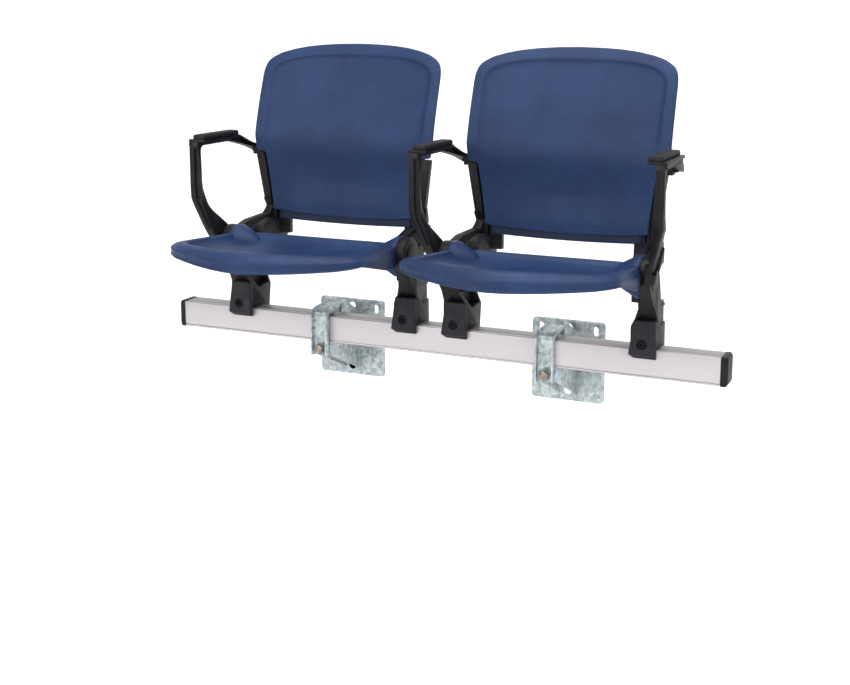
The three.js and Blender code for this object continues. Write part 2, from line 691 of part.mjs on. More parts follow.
function clampBoltSolid(post) {
  const middle = post.plane;
  const under = clampBlock.recessDepth - clampBlock.thickness - gap;
  const top = under - clampBolt.head;
  const head = rod(top, under, clampBolt.headRadius, middle, clampBolt.z);
  const shank = rod(under - clampBolt.head / 2, clampBolt.reach, clampBolt.radius, middle, clampBolt.z);
  const socket = hexagon(top - overrun, top + clampBolt.socketDepth, clampBolt.socket, middle, clampBolt.z);
  return head.add(shank).subtract(socket);
}

// Plan outline of the seat pan, as points round the D.
function seatOutline() {
  const { halfWidth, front, rear, cornerY, hipY } = seat;
  const cornerShares = [
    [1, 0], [0.982, 0.107], [0.932, 0.24], [0.836, 0.41],
    [0.68, 0.58], [0.486, 0.76], [0.3, 0.893], [0.136, 0.973],
  ];
  const sideShares = [[0.923, 0.78], [0.959, 0.54], [0.98, 0.27]];
  const corner = cornerShares.map(([wide, deep]) => [halfWidth * wide, cornerY + (front - cornerY) * deep]);
  const hips = sideShares.map(([wide, deep]) => [halfWidth * wide, hipY + (rear - hipY) * deep]);
  const rearHalf = stanchionOffset + seat.rearCornerOut;
  const right = [
    [0, rear], [rearHalf / 2, rear], [rearHalf, rear], [(rearHalf + stanchionOffset) / 2, rear - seat.wall],
    ...hips, [halfWidth, hipY], [halfWidth, (hipY + cornerY) / 2], ...corner,
  ];
  return bothSides(right, front);
}

// A closed outline from its right half, which starts at the middle below and ends at the middle above.
function bothSides(right, end) {
  const left = right.slice(1).map(([a, b]) => [-a, b]).reverse();
  return [...right, [0, end], ...left].map(([a, b]) => new THREE.Vector2(a, b));
}

// Height of the rim of the seat pan, and of its skirt's lower edge, over a depth.
function seatRim(y) {
  const share = (seat.rear - y) / (seat.rear - seat.front);
  return seat.rimRear + share * (seat.rimFront - seat.rimRear);
}

function seatSkirt(y) {
  const s = seat;
  const { mapLinear } = THREE.MathUtils;
  if (y < s.cornerY) {
    return mapLinear(y, s.front, s.cornerY, s.skirtFront, s.skirtCorner);
  }
  return mapLinear(Math.min(y, s.skirtRearY), s.cornerY, s.skirtRearY, s.skirtCorner, s.skirtRear);
}

// Height of the upper surface: the basin is deepest at its middle and ends at the rim's band.
function seatTop(x, at, share) {
  const [bandShare, floorShare, evenShare] = [seat.rimBand / seat.halfWidth, 0.5, 0.45];
  const sunk = THREE.MathUtils.smoothstep(1 - share, bandShare, floorShare);
  const middle = 1 - Math.min(1, Math.abs(at.y - seat.basinY) / (seat.halfWidth + seat.rimBand));
  const depth = seat.basinDepth * sunk * (evenShare + (1 - evenShare) * middle);
  return new THREE.Vector3(x + at.x, at.y, seatRim(at.y) - depth);
}

function seatUnder(x, at, share) {
  const surface = seatTop(x, at, share);
  return surface.setZ(surface.z - seat.wall);
}

// Seat pan: a dished shell with a skirt, and a round lug at each pivot.
function seatSolid(x) {
  const topShares = [0.02, 0.25, 0.45, 0.62, 0.75, 0.86, 0.93, 1];
  const underShares = [0.965, 0.86, 0.75, 0.62, 0.45, 0.25, 0.02];
  const outline = seatOutline();
  const centre = new THREE.Vector2(0, seat.hipY);
  const top = (at, share) => seatTop(x, at, share);
  const under = (at, share) => seatUnder(x, at, share);
  const edge = (at) => new THREE.Vector3(x + at.x, at.y, seatSkirt(at.y));
  const shell = lofted([
    ...topShares.map((share) => panelRing(outline, centre, share, top)),
    panelRing(outline, centre, 1, edge),
    panelRing(outline, centre, underShares[0], edge),
    ...underShares.map((share) => panelRing(outline, centre, share, under)),
  ]);
  const posts = postsOf(x);
  return cutBy(joined([shell, ...posts.map(seatLug)]), posts.flatMap(seatCuts));
}

function seatLug(post) {
  const face = hub.inner - gap;
  return hubTurned(post, [
    [seat.lugInner, 0], [seat.lugInner, seat.lugNeck], [face - seat.lugDisc, seat.lugRadius],
    [face, seat.lugRadius], [face, 0],
  ]);
}

// Room for the hub and the pivot pin, and the slot of the stop pin.
function seatCuts(post) {
  const hubSpace = hubRod(post, hub.inner - gap, hub.outer + overrun, hub.radius + hub.room);
  const bore = hubRod(post, pivot.inner - gap, hub.inner + overrun, pivot.radius + gap, boltSides);
  return [hubSpace, bore, stopSlot(post)];
}

// Front view outline of the back's panel.
function backOutline() {
  const b = back;
  const at = (out, z) => [stanchionOffset + out, z];
  const bowShares = [0, 0.3, 0.58, 0.82, 1];
  const bow = bowShares.map((share) => [
    share * (stanchionOffset + b.cornerOut), b.bottom + (b.cornerZ - b.bottom) * share ** 2]);
  const crownShares = [
    [0.995, 0.2], [0.98, 0.38], [0.955, 0.49], [0.915, 0.59], [0.84, 0.71], [0.72, 0.81], [0.58, 0.885],
    [0.41, 0.95], [0.22, 0.985],
  ];
  const crown = crownShares.map(([wide, high]) => [backHalf * wide, b.upperZ + (b.top - b.upperZ) * high]);
  return bothSides([
    ...bow, at(b.lowOut, b.lowZ), at((b.lowOut + b.sideOut) / 2, (b.lowZ + b.sideZ) / 2),
    at(b.sideOut, b.sideZ), at(b.ledgeOut, b.ledgeZ), at(b.shoulderOut, b.shoulderZ),
    at(b.waistOut, b.waistZ), at(b.waistOut, (b.waistZ + b.upperZ) / 2), at(b.waistOut, b.upperZ), ...crown,
  ], b.top);
}

// Depth of the back's edge at a height, and how far the panel is hollowed at a width.
function backEdge(z) {
  const rise = Math.max(0, z - back.bendZ);
  return back.edgeY + back.leanShare * rise ** 2 / (rise + back.bendSpan);
}

function backHollow(x) {
  return back.dish * (1 - Math.min(1, (x / backHalf) ** 2));
}

function backFront(at, share) {
  const bandShare = back.rimBand / backHalf;
  const step = back.rimStep * THREE.MathUtils.smoothstep(1 - share, bandShare / 2, bandShare);
  return backEdge(at.y) + backHollow(at.x) + step;
}

function backThickness(share) {
  const bandShare = back.rimBand / backHalf;
  return back.wall + (back.edge - back.wall) * THREE.MathUtils.smoothstep(share, 1 - 2 * bandShare, 1);
}

// Back shell: a dished panel inside a raised rim, a band below it, and a lug at each carrier.
function backSolid(x) {
  const ringShares = [0.02, 0.3, 0.55, 0.75, 0.87, 0.93, 1];
  const outline = backOutline();
  const centre = new THREE.Vector2(0, (back.bottom + back.top) / 2);
  const front = (at, share) => new THREE.Vector3(x + at.x, backFront(at, share), at.y);
  const rear = (at, share) => new THREE.Vector3(x + at.x, backFront(at, share) + backThickness(share), at.y);
  const shell = lofted([
    ...ringShares.map((share) => panelRing(outline, centre, share, front)),
    ...ringShares.toReversed().map((share) => panelRing(outline, centre, share, rear)),
  ]);
  return joined([shell, backFlange(x), ...postsOf(x).map(backLug)]);
}

// Depth of the middle of the band below the panel, at a width.
function flangeMiddle(x) {
  return back.edgeY + backHollow(x) + back.flangeSet + back.wall / 2;
}

// Band below the panel: set back from it, dished with it, and bowed along its lower edge.
function backFlange(x) {
  const b = back;
  const half = stanchionOffset + b.flangeEndOut;
  const bowShares = [-1, -0.75, -0.5, -0.25, 0, 0.25, 0.5, 0.75, 1];
  const line = (shift) => bowShares.map((share) => [x + share * half, flangeMiddle(share * half) + shift]);
  const band = planSolid(
    [...line(-b.wall / 2), ...line(b.wall / 2).reverse()], b.flangeBottom - overrun, b.flangeRoot);
  const lower = bowShares.map((share) => [
    x + share * half, b.flangeBottom + (b.flangeEndZ - b.flangeBottom) * share ** 2]);
  const face = frontSolid([...lower, [x + half, b.flangeRoot], [x - half, b.flangeRoot]],
    b.edgeY, flangeMiddle(0) + b.wall);
  return band.intersect(face);
}

// Block on the rear of the band that bears on the stanchion's wing.
function backLug(post) {
  return box(outward(post, rearArm.wingInner), outward(post, rearArm.wingInner + back.lugWidth),
    lugRoot(), wingFront() - gap, back.lugBottom, back.lugTop);
}

function lugRoot() {
  return flangeMiddle(stanchionOffset + rearArm.wingInner);
}

// Sweeps a side view outline between side limits that change along it.
function splayed(profile, post, sidesAt) {
  const flat = sideGeometry(profile, 0, sweepSpan);
  const place = flat.attributes.position;
  for (let index = 0; index < place.count; index += 1) {
    const [inner, outer] = sidesAt(place.getY(index), place.getZ(index));
    const out = THREE.MathUtils.lerp(inner, outer, place.getX(index) / sweepSpan);
    place.setX(index, outward(post, out));
  }
  return solid(flat);
}

// Side limits of the upright at a point of its side view outline.
function uprightSides(y, z) {
  const u = upright;
  const rise = THREE.MathUtils.clamp((z - u.frontZ) / (u.top - u.frontZ), 0, 1);
  const behind = THREE.MathUtils.clamp((y - u.underMidY) / (u.elbowY - u.underMidY), 0, 1);
  const above = THREE.MathUtils.clamp((z - u.elbowZ) / (u.frontZ - u.elbowZ), 0, 1);
  const inner = THREE.MathUtils.lerp(u.lowInner, u.topInner, rise);
  const outer = THREE.MathUtils.lerp(u.lowOuter, u.topOuter, rise);
  const reach = Math.max(behind, above);
  return [THREE.MathUtils.lerp(u.strutInner, inner, reach), THREE.MathUtils.lerp(u.strutOuter, outer, reach)];
}

// Upright: a strut from the hub to the back's lower corner, and a bar beside its edge.
function uprightSolid(post) {
  const u = upright;
  const body = splayed([
    [hub.y, hub.z], [u.strutFrontY, u.strutFrontZ], [u.underMidY, (u.strutFrontZ + u.strutRearZ) / 2],
    [u.strutRearY, u.strutRearZ], [u.elbowY, u.elbowZ, u.corner / 2], [u.frontY, u.frontZ, u.corner / 2],
    [u.topFront, u.top], [u.topRear, u.top], [u.rearY, u.frontZ], [u.heelY, u.heelZ, u.corner],
    [u.heelY - u.corner, u.underRearZ, u.corner], [u.underRearY, u.underRearZ], [u.underMidY, u.underMidZ],
    [u.underFrontY, u.underFrontZ],
  ], post, uprightSides);
  const hubSpace = hubRod(post, hub.inner, u.strutOuter + overrun, hub.radius + gap);
  const lugSpace = hubRod(post, u.lowInner - overrun, hub.inner + gap, seat.lugRadius + seat.lugRoom);
  return cutBy(body, [hubSpace, lugSpace]);
}

// Side limits of the armrest at a point of its side view outline.
function armSides(y, z) {
  const a = armrest;
  const rise = THREE.MathUtils.clamp((z - a.lowZ) / (a.kneeZ - a.lowZ), 0, 1);
  const turn = THREE.MathUtils.clamp((y - a.linkUnderY) / (a.linkStepY - a.linkUnderY), 0, 1);
  const rear = turn * rise;
  const inner = THREE.MathUtils.lerp(a.lowInner, a.postInner, rise);
  const outer = THREE.MathUtils.lerp(a.lowOuter, a.postOuter, rise);
  return [THREE.MathUtils.lerp(inner, a.linkInner, rear), THREE.MathUtils.lerp(outer, a.linkOuter, rear)];
}

// Armrest frame: its side outline spread outwards above the hub, a tray for the pad,
// and a tab at the end of the link over the top of the upright.
function armFrameSolid(post) {
  const a = armrest;
  const body = splayed([
    [a.heelY, a.heelZ, foot.edge], [a.chinY, a.chinZ, a.railCorner], [a.noseY, a.noseZ, a.railCorner],
    [a.postFront, a.kneeTurn], [a.postFront, a.railTop, a.railCorner],
    [a.linkTopY, a.railTop, a.railCorner / 2], [a.linkStepY, a.linkStepZ, a.railCorner / 2],
    [a.linkRear, a.linkEndZ, foot.edge], [a.linkRear, a.linkLowZ], [a.linkMidY, a.linkMidZ, a.railCorner],
    [a.linkUnderY, a.railBottom, a.railCorner], [a.postRearTop, a.railBottom, a.railCorner],
    [a.postRearLow, a.kneeTurn, a.railCorner], [a.innerKneeY, a.innerKneeZ, a.railCorner],
    [a.crotchY, a.crotchZ], [hub.y, hub.z],
  ], post, armSides);
  const tray = box(outward(post, a.postOuter), outward(post, pad.trayInner),
    pad.front, pad.front + pad.length, a.railTop - pad.trayDepth, a.railTop);
  const tab = box(outward(post, a.tabInner), outward(post, (a.linkInner + a.linkOuter) / 2), a.tabFront,
    a.linkRear, a.linkLowZ, a.tabTop);
  const hubSpace = hubRod(post, a.lowInner - overrun, hub.outer + gap, hub.radius + gap);
  const capSpace = hubRod(post, hub.outer, a.postOuter + overrun, pivot.cap + pivot.capRoom);
  return cutBy(joined([body, tray, tab]), [hubSpace, capSpace]);
}

// Arm pad: a block with rounded corners, drawn in at its foot and at its top edge.
function padSolid(post) {
  const { front, length, corner, thickness } = pad;
  const low = armrest.railTop + gap;
  const inner = pad.outer - pad.width;
  const rows = [[low, pad.inset], [low + thickness / 2, 0], [low + thickness, 2 * pad.inset]];
  return lofted(rows.map(([z, inset]) => {
    const shape = roundedShape([
      [inner + inset, front + inset, corner], [pad.outer - inset, front + inset, corner],
      [pad.outer - inset, front + length - inset, corner], [inner + inset, front + length - inset, corner],
    ]);
    return ringPoints(shape).map((point) => new THREE.Vector3(outward(post, point.x), point.y, z));
  }));
}

// The two stanchions of the seat at x: side -1 is the left one, +1 the right one.
function postsOf(x) {
  return [-1, 1].map((side) => ({ plane: x + side * stanchionOffset, side }));
}

function addBracket(group, name, x) {
  put(group, `${name}_wall_plate`, wallPlateSolid(x), looks.zinc);
  put(group, `${name}_arm`, bracketArmSolid(x), looks.zinc);
  put(group, `${name}_strap`, strapSolid(x), looks.zinc);
  put(group, `${name}_strap_washer`, strapWasherSolid(x), looks.zinc);
  put(group, `${name}_strap_bolt`, strapBoltSolid(x), looks.boltSteel);
  put(group, `${name}_strap_nut`, strapNutSolid(x), looks.boltSteel);
}

function addStanchion(group, name, post) {
  put(group, `${name}_stanchion`, stanchionSolid(post), looks.blackPlastic);
  put(group, `${name}_clamp_block`, clampBlockSolid(post), looks.clampPlastic);
  put(group, `${name}_clamp_bolt`, clampBoltSolid(post), looks.blackSteel);
  put(group, `${name}_pivot_pin`, pivotPinSolid(post), looks.blackSteel);
  put(group, `${name}_pivot_bush`, bushSolid(post), looks.clampPlastic);
  put(group, `${name}_stop_pin`, stopPinSolid(post), looks.blackSteel);
  put(group, `${name}_hub_cap`, hubCapSolid(post), looks.blackPlastic);
  put(group, `${name}_upright`, uprightSolid(post), looks.blackPlastic);
}

function addArmrest(group, name, post) {
  put(group, `${name}_arm_frame`, armFrameSolid(post), looks.blackPlastic);
  put(group, `${name}_arm_pad`, padSolid(post), looks.padPlastic);
}

function addSeat(group, name, x) {
  const [left, right] = postsOf(x);
  addStanchion(group, `${name}_left`, left);
  addStanchion(group, `${name}_right`, right);
  addArmrest(group, `${name}_left`, left);
  put(group, `${name}_pan`, seatSolid(x), looks.bluePlastic);
  put(group, `${name}_back`, backSolid(x), looks.bluePlastic);
}

function buildRow() {
  const row = new THREE.Group();
  const seatCentres = [-seatSpacing / 2, seatSpacing / 2];
  put(row, 'beam', beamSolid(), looks.aluminium);
  put(row, 'end_cap_left', endCapSolid(-1), looks.blackPlastic);
  put(row, 'end_cap_right', endCapSolid(1), looks.blackPlastic);
  seatCentres.forEach((x, index) => {
    addBracket(row, `bracket_${index + 1}`, x);
    addSeat(row, `seat_${index + 1}`, x);
  });
  addArmrest(row, 'seat_2_right', postsOf(seatCentres[1])[1]);
  row.position.set(0, -wallPlane, -plateCentre);
  return row;
}

const part = new THREE.Group();
part.add(buildRow());
export default part;
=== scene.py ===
# %% [markdown]
# # A row of two tip-up stadium seats
#
# The row is an aluminium beam on two steel brackets. It carries four black
# stanchions, two blue seat pans that tip up, two blue backs and three armrests.
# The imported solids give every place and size. Each visible piece is modelled
# again here, around those solids, with the rounded edges and hollows of the
# real mouldings, and is finished with materials made of nodes.

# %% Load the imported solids
from math import cos, hypot, pi, radians, sin

import bpy
from mathutils import Matrix, Vector


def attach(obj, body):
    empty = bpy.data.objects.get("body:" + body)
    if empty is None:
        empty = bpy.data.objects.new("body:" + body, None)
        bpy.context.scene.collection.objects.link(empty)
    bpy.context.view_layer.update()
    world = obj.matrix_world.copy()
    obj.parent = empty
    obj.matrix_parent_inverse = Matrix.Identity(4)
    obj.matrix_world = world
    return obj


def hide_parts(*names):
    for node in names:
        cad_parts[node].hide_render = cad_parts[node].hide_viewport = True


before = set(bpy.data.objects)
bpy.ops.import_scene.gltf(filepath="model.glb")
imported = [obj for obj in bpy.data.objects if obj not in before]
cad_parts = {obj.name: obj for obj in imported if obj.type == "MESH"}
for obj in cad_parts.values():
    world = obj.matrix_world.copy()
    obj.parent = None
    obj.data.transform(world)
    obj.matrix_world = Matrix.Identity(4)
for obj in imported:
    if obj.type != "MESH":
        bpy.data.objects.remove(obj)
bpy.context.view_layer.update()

# %% [markdown]
# ## Measures
#
# The row is described from the front top edge of its beam, in millimetres, as a
# maker would draw it. One function turns such a place into the frame's metres,
# so that every number below can be read against a drawing. Each seat is
# described from its own centre, and each stanchion from its own middle plane:
# what belongs to a stanchion is so far outwards from it, away from the seat.

# %% Places in millimetres
MM = 0.001
WALL_PLANE = 153
PLATE_CENTRE = -80
STANCHION = 202
SEAT_CENTRES = {"seat_1": -260, "seat_2": 260}
SIDES = {"left": -1, "right": 1}
HUB_Y, HUB_Z = -15, 150


def at(x, y, z):
    """A place in the frame, from millimetres along, behind and above the beam's front top edge."""
    return Vector((x, y - WALL_PLANE, z - PLATE_CENTRE)) * MM


def stanchion_plane(seat, side):
    """Middle plane of a stanchion along the beam."""
    return SEAT_CENTRES[seat] + SIDES[side] * STANCHION


print("left pivot of seat 1", at(stanchion_plane("seat_1", "left"), HUB_Y, HUB_Z))

# %% [markdown]
# Two small functions are used again and again. One gives the height of a broken
# line, which is how a tapered edge is described. The other is a soft step, which
# lets a form die away without a crease.


# %% Lines and soft steps
def along(value, stops):
    """Height of a line through stops, each a place and its height."""
    for (a, low), (b, high) in zip(stops, stops[1:]):
        if value <= b:
            return low + (high - low) * max(0, (value - a) / (b - a))
    return stops[-1][1]


def smooth(value, low, high):
    """A soft step from 0 at low to 1 at high."""
    share = min(1, max(0, (value - low) / (high - low)))
    return share * share * (3 - 2 * share)


print("a quarter of the way through a soft step", smooth(0.25, 0, 1))

# %% [markdown]
# ## Camera
#
# The photograph looks at the row from the right and from a little above it. The
# camera could be turned by eye until the render looks alike, but here its place,
# its turn and its focal length were worked out from the straight lines of the
# beam and the plates. The picture was cropped off centre, which the two shifts
# repeat.

# %% Camera
CAMERA_PLACE = (1096, -2492, 664)
YAW, PITCH, ROLL = radians(-23.31), radians(9.93), radians(0.19)
camera_data = bpy.data.cameras.new("camera")
camera_data.lens = 55.86
camera_data.sensor_width = 36
camera_data.shift_x = -0.0176
camera_data.shift_y = -0.1206
camera = bpy.data.objects.new("camera", camera_data)
bpy.context.scene.collection.objects.link(camera)
forward = Vector((cos(PITCH) * sin(YAW), cos(PITCH) * cos(YAW), -sin(PITCH)))
turn = forward.to_track_quat("-Z", "Y").to_matrix().to_4x4()
camera.matrix_world = Matrix.Translation(at(*CAMERA_PLACE)) @ turn @ Matrix.Rotation(ROLL, 4, "Z")
bpy.context.scene.camera = camera
bpy.context.scene.view_settings.view_transform = "Standard"
print("camera at", camera.location, "looking along", forward)

# %% [markdown]
# ## Working by hand, in code
#
# Most pieces start as a primitive that is shaped in edit mode, as with the
# mouse. An operator acts on all that is selected, so these helpers do what the
# hand does first: let go of everything, choose one object, and open it.


# %% Selecting and editing
def release():
    """Leaves edit mode with nothing selected."""
    if bpy.context.mode != "OBJECT":
        bpy.ops.object.mode_set(mode="OBJECT")
    bpy.ops.object.select_all(action="DESELECT")


def choose(obj):
    """Makes one object the selected and active one."""
    release()
    obj.select_set(True)
    bpy.context.view_layer.objects.active = obj


def edit(obj, kind="FACE", everything=True):
    """Opens an object in edit mode with all or nothing selected."""
    choose(obj)
    bpy.ops.object.mode_set(mode="EDIT")
    bpy.ops.mesh.select_mode(type=kind)
    bpy.ops.mesh.select_all(action="SELECT" if everything else "DESELECT")


release()
print("selected", len(bpy.context.selected_objects))

# %% [markdown]
# Modifiers do the even work: rounding all edges, giving a wall, cutting. They
# could stay live, but applied ones leave a plain mesh that looks the same in
# every program. A finished piece is smoothed, named, given its finish and put on
# the moving body it rides on, and the imported solid it stands for is hidden.


# %% Modifiers and finished pieces
SHARP_ANGLE = 32


def apply_modifier(obj, kind, **settings):
    """Adds a modifier with its settings and applies it."""
    choose(obj)
    modifier = obj.modifiers.new(kind.title(), kind)
    for name, value in settings.items():
        setattr(modifier, name, value)
    bpy.ops.object.modifier_apply(modifier=modifier.name)


def round_edges(obj, width):
    """Rounds every sharp edge, with a width in millimetres."""
    apply_modifier(obj, "BEVEL", width=width * MM, segments=2, limit_method="ANGLE",
                   angle_limit=radians(SHARP_ANGLE), use_clamp_overlap=True, miter_outer="MITER_ARC")


def finish_piece(obj, name, body, material, node_name, angle=35):
    """Names a piece, smooths it, gives it its finish, puts it on its body and hides the solid it stands for.
    """
    choose(obj)
    bpy.ops.object.shade_smooth_by_angle(angle=radians(angle))
    obj.name = name
    obj.data.name = name
    obj.data.materials.clear()
    obj.data.materials.append(material)
    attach(obj, body)
    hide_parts(node_name)
    release()
    print(name, "faces", len(obj.data.polygons))


# %% [markdown]
# ## Materials
#
# All finishes are made of nodes on object coordinates, so they have their real
# scale on every piece. One helper adds a node with its settings and links, which
# keeps each finish short enough to read as a recipe.


# %% Colours and nodes
def hue(red, green, blue):
    """A colour written as 0 to 255, as the shader's linear values."""
    parts = [value / 255 for value in (red, green, blue)]
    return tuple(part / 12.92 if part <= 0.04045 else ((part + 0.055) / 1.055) ** 2.4 for part in parts) + (1,)


def node(tree, kind, inputs=None, **settings):
    """Adds a node; inputs are numbers, colours or the outputs they are linked to."""
    made = tree.nodes.new(kind)
    for name, value in settings.items():
        setattr(made, name, value)
    for name, value in (inputs or {}).items():
        if isinstance(value, bpy.types.NodeSocket):
            tree.links.new(value, made.inputs[name])
        else:
            made.inputs[name].default_value = value
    return made


def feed(tree, value, shader, name):
    tree.links.new(value, shader.inputs[name])


def start_material(name, **numbers):
    """A new material: its tree, its shader and its place coordinates."""
    material = bpy.data.materials.new(name)
    material.use_nodes = True
    tree = material.node_tree
    shader = tree.nodes["Principled BSDF"]
    for key, value in numbers.items():
        shader.inputs[key.replace("_", " ")].default_value = value
    place = node(tree, "ShaderNodeTexCoord").outputs["Object"]
    return material, tree, shader, place


print("a middle grey in linear light", hue(128, 128, 128))

# %% [markdown]
# Every finish is a mix of the same few patterns. Cloudy noise gives stains, wear
# and fine grain, depending on its scale, and scattered cells give leather. A
# ramp turns a pattern into colours, a spread turns it into a range of roughness,
# and a bump turns it into relief too fine to model.


# %% Patterns
def noise(tree, place, scale, detail=3, stretch=(1, 1, 1), roughness=0.5):
    """Cloudy noise, optionally stretched along an axis."""
    mapped = node(tree, "ShaderNodeMapping", {"Vector": place, "Scale": stretch}).outputs["Vector"]
    inputs = {"Vector": mapped, "Scale": scale, "Detail": detail, "Roughness": roughness}
    return node(tree, "ShaderNodeTexNoise", inputs).outputs["Fac"]


def ramp(tree, value, stops):
    """Colours laid along a value: stops are places and colours."""
    made = node(tree, "ShaderNodeValToRGB", {"Fac": value})
    band = made.color_ramp
    while len(band.elements) < len(stops):
        band.elements.new(0.5)
    for element, (place, colour) in zip(band.elements, stops):
        element.position = place
        element.color = colour
    return made.outputs["Color"]


def spread(tree, value, low, high):
    """A value from 0 to 1 laid out between two numbers."""
    return node(tree, "ShaderNodeMapRange", {"Value": value, "To Min": low, "To Max": high}).outputs["Result"]


def bumped(tree, shader, height, strength, distance, under=None):
    """Bump from a height, optionally on top of another bump."""
    inputs = {"Height": height, "Strength": strength, "Distance": distance}
    if under is not None:
        inputs["Normal"] = under
    normal = node(tree, "ShaderNodeBump", inputs).outputs["Normal"]
    feed(tree, normal, shader, "Normal")
    return normal


# %% [markdown]
# The seats are moulded in blue plastic with a fine leather grain. A picture of
# leather would do from one side only; cells of about two millimetres, with a
# little noise, give the grain everywhere. The gloss changes slowly over the
# surface, as it does where hands and clothes have polished it.


# %% Blue plastic with a leather grain
def blue_plastic(name, dark, pale):
    material, tree, shader, place = start_material(name, Specular_IOR_Level=0.22)
    shades = noise(tree, place, scale=9, detail=4)
    feed(tree, ramp(tree, shades, [(0.3, dark), (0.7, pale)]), shader, "Base Color")
    wear = noise(tree, place, scale=26, detail=5)
    feed(tree, spread(tree, wear, 0.3, 0.52), shader, "Roughness")
    grain = node(tree, "ShaderNodeTexVoronoi", {"Vector": place, "Scale": 430}).outputs["Distance"]
    pores = noise(tree, place, scale=900, detail=2)
    leather = bumped(tree, shader, grain, strength=0.6, distance=0.001)
    bumped(tree, shader, pores, strength=0.35, distance=0.0005, under=leather)
    return material


BLUE = blue_plastic("blue_plastic", hue(28, 46, 80), hue(35, 57, 96))
# A darker, greyer copy of the blue with painted shade, for the band and lugs under the backs.
BLUE_PAINTED_SHADE = blue_plastic("blue_painted_shade", hue(30, 39, 60), hue(37, 48, 72))
print("made", BLUE.name, "and", BLUE_PAINTED_SHADE.name)

# %% [markdown]
# The frames are black glass-filled plastic, a little grey where the light
# catches the fine texture of the mould. The clamp blocks are a warmer grey, and
# the arm pads are matt on top. One recipe with other numbers makes all three.


# %% Black and grey plastics
def dark_plastic(name, dark, pale, low, high, grain_scale, strength):
    material, tree, shader, place = start_material(name, Specular_IOR_Level=0.24)
    shades = noise(tree, place, scale=35, detail=4)
    feed(tree, ramp(tree, shades, [(0.35, dark), (0.7, pale)]), shader, "Base Color")
    feed(tree, spread(tree, noise(tree, place, scale=60), low, high), shader, "Roughness")
    bumped(tree, shader, noise(tree, place, grain_scale), strength, distance=0.0004)
    return material


BLACK = dark_plastic("black_moulding", hue(17, 17, 19), hue(28, 27, 30), 0.38, 0.52, 700, 0.3)
CLAMP = dark_plastic("grey_moulding", hue(33, 31, 36), hue(45, 43, 49), 0.5, 0.64, 600, 0.3)
PAD = dark_plastic("matt_pad", hue(22, 23, 25), hue(33, 34, 37), 0.58, 0.72, 900, 0.35)
print("made", BLACK.name, CLAMP.name, "and", PAD.name)

# %% [markdown]
# The beam is drawn aluminium with a satin skin. Fine lines run along it, so the
# noise is stretched along X. Painted shade makes its top darker than its front:
# the colour follows the way that a face looks, and faces looking up are darker.


# %% Drawn aluminium
def drawn_aluminium():
    material, tree, shader, place = start_material("drawn_aluminium", Metallic=0.6, Specular_IOR_Level=0.3)
    facing = node(tree, "ShaderNodeNewGeometry").outputs["Normal"]
    painted_shade_mask = node(tree, "ShaderNodeSeparateXYZ", {"Vector": facing}).outputs["Z"]
    # Painted shade: faces looking up get the darker colour, the front the lit one.
    front, top = hue(204, 199, 202), hue(158, 156, 155)
    feed(tree, ramp(tree, painted_shade_mask, [(0.3, front), (0.9, top)]), shader, "Base Color")
    sheen = noise(tree, place, scale=12, stretch=(0.2, 3, 3))
    feed(tree, spread(tree, sheen, 0.32, 0.46), shader, "Roughness")
    lines = noise(tree, place, scale=60, detail=4, stretch=(0.03, 6, 6))
    bumped(tree, shader, lines, strength=0.05, distance=0.0002)
    return material


ALUMINIUM = drawn_aluminium()
print("made", ALUMINIUM.name)

# %% [markdown]
# The brackets are hot-dip galvanised, which leaves pale crystals and duller
# patches. The colour of each cell of a Voronoi pattern stands for a crystal, and
# half of it is mixed with half of a noise, so that no edge is too clean.


# %% Galvanised steel
def galvanised_steel():
    material, tree, shader, place = start_material("galvanised_steel", Metallic=0.6)
    crystals = node(tree, "ShaderNodeTexVoronoi", {"Vector": place, "Scale": 130}).outputs["Color"]
    grey = node(tree, "ShaderNodeRGBToBW", {"Color": crystals}).outputs["Val"]
    patches = noise(tree, place, scale=28, detail=6, roughness=0.65)
    both = node(tree, "ShaderNodeMath", {0: grey, 1: patches}, operation="ADD").outputs["Value"]
    mixed = node(tree, "ShaderNodeMath", {0: both, 1: 0.5}, operation="MULTIPLY").outputs["Value"]
    dull, middle, bright = hue(150, 161, 164), hue(186, 196, 198), hue(214, 222, 223)
    feed(tree, ramp(tree, mixed, [(0.28, dull), (0.5, middle), (0.72, bright)]), shader, "Base Color")
    feed(tree, spread(tree, patches, 0.34, 0.6), shader, "Roughness")
    bumped(tree, shader, patches, strength=0.35, distance=0.0006)
    return material


ZINC = galvanised_steel()
print("made", ZINC.name)

# %% [markdown]
# Bolts are plated, with a warm tint where the plating is thin, or blackened.
# Both are the same recipe: one pattern of small stains sets the colour, the
# gloss and the relief together, as real stains do.


# %% Plated and blackened steel
def plated_steel(name, dark, pale, low, high):
    material, tree, shader, place = start_material(name, Metallic=0.8)
    stains = noise(tree, place, scale=140, detail=4)
    feed(tree, ramp(tree, stains, [(0.35, dark), (0.65, pale)]), shader, "Base Color")
    feed(tree, spread(tree, stains, low, high), shader, "Roughness")
    bumped(tree, shader, stains, strength=0.2, distance=0.0003)
    return material


BOLT = plated_steel("plated_bolt", hue(120, 108, 98), hue(168, 160, 152), 0.3, 0.5)
BLACK_STEEL = plated_steel("blackened_steel", hue(12, 12, 13), hue(26, 26, 29), 0.3, 0.45)
print("finishes", len(bpy.data.materials))

# %% [markdown]
# ## Skins and tools from rings
#
# A circle is extruded in edit mode again and again, and each new ring is put
# where a list of places says. With a few corners and two or three rings that
# makes a tool to cut with, and with many it makes a moulded panel. A Boolean
# primitive could only be a box or a round, and the real cuts taper.


